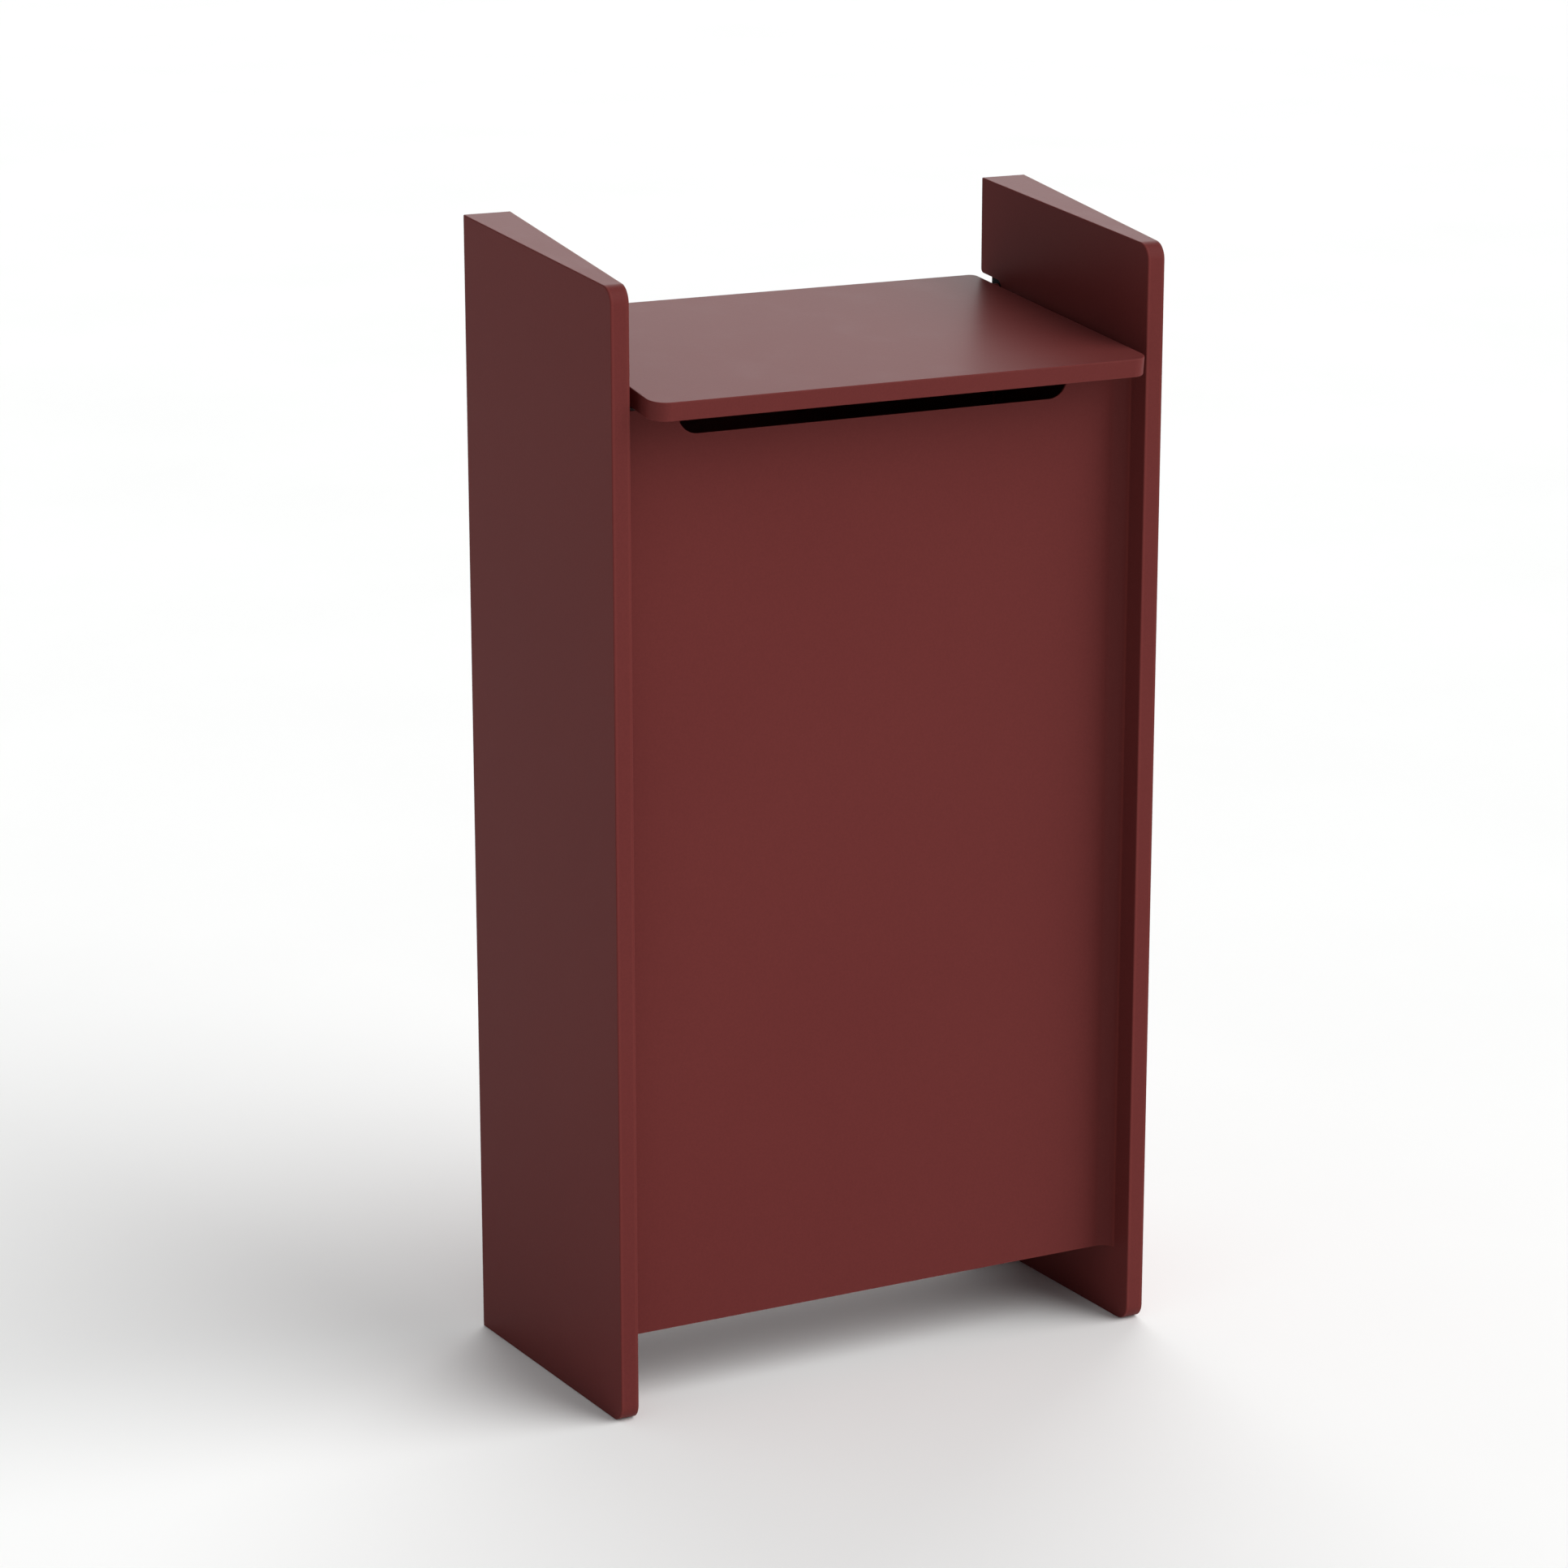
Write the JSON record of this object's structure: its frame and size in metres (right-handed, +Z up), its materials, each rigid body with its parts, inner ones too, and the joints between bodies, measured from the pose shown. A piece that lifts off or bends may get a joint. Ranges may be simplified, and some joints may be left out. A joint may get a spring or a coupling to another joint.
{
  "type": "newspaper vending box",
  "caption": "Free-standing street newspaper box of folded sheet steel: wedge-shaped sides hold a recessed front panel and a sloping lid that lifts to reach the papers.",
  "frame": {"origin": "on the floor, in the middle of the outline of the closed box", "axes": "+Z up, front with the panel and the lid's nose towards -Y, +X to the right seen from the front"},
  "size_m": [0.546, 0.283, 1],
  "materials": {
    "oxide_red_coat": "fine satin powder coat, dark oxide red",
    "inner_coat": "thinner powder coat on the inner parts, dark oxide red",
    "bright_steel": "zinc-plated or stainless fastener steel",
    "polymer": "black acetal bearing plastic",
    "rubber": "black moulded rubber"
  },
  "bodies": {
    "body": {"anchor_bracket_left": "inner_coat", "anchor_bracket_right": "inner_coat", "anchor_rivets": "bright_steel", "back_panel": "oxide_red_coat", "bearing_nuts": "bright_steel", "bearing_studs": "bright_steel", "closing_buffers": "rubber", "cover_screws": "bright_steel", "cover_tabs_left": "inner_coat", "cover_tabs_right": "inner_coat", "floor_pan": "inner_coat", "front_panel": "oxide_red_coat", "front_rail": "inner_coat", "hinge_bearing_left": "polymer", "hinge_bearing_right": "polymer", "panel_rivets": "bright_steel", "paper_shelf": "inner_coat", "rear_cover_left": "oxide_red_coat", "rear_cover_right": "oxide_red_coat", "shelf_bracket_left": "inner_coat", "shelf_bracket_right": "inner_coat", "shelf_screws": "bright_steel", "side_foot_band_left": "oxide_red_coat", "side_foot_band_right": "oxide_red_coat", "side_front_band_left": "oxide_red_coat", "side_front_band_right": "oxide_red_coat", "side_inner_plate_left": "oxide_red_coat", "side_inner_plate_right": "oxide_red_coat", "side_outer_plate_left": "oxide_red_coat", "side_outer_plate_right": "oxide_red_coat", "side_top_band_left": "oxide_red_coat", "side_top_band_right": "oxide_red_coat", "stop_buffers": "rubber", "stop_rail": "inner_coat"},
    "lid": {"hinge_pin_left": "oxide_red_coat", "hinge_pin_right": "oxide_red_coat", "lid_liner": "inner_coat", "lid_shell": "oxide_red_coat", "lid_stiffeners": "inner_coat", "liner_rivets": "bright_steel", "pin_boss_left": "inner_coat", "pin_boss_right": "inner_coat", "pin_clips": "bright_steel"}
  },
  "joints": [
    {"name": "lid_hinge", "type": "hinge", "parent": "body", "child": "lid", "pos_m": [0, 0.1165, 0.9046], "axis": [-1, 0, 0], "range_deg": [0, 100]}
  ]
}
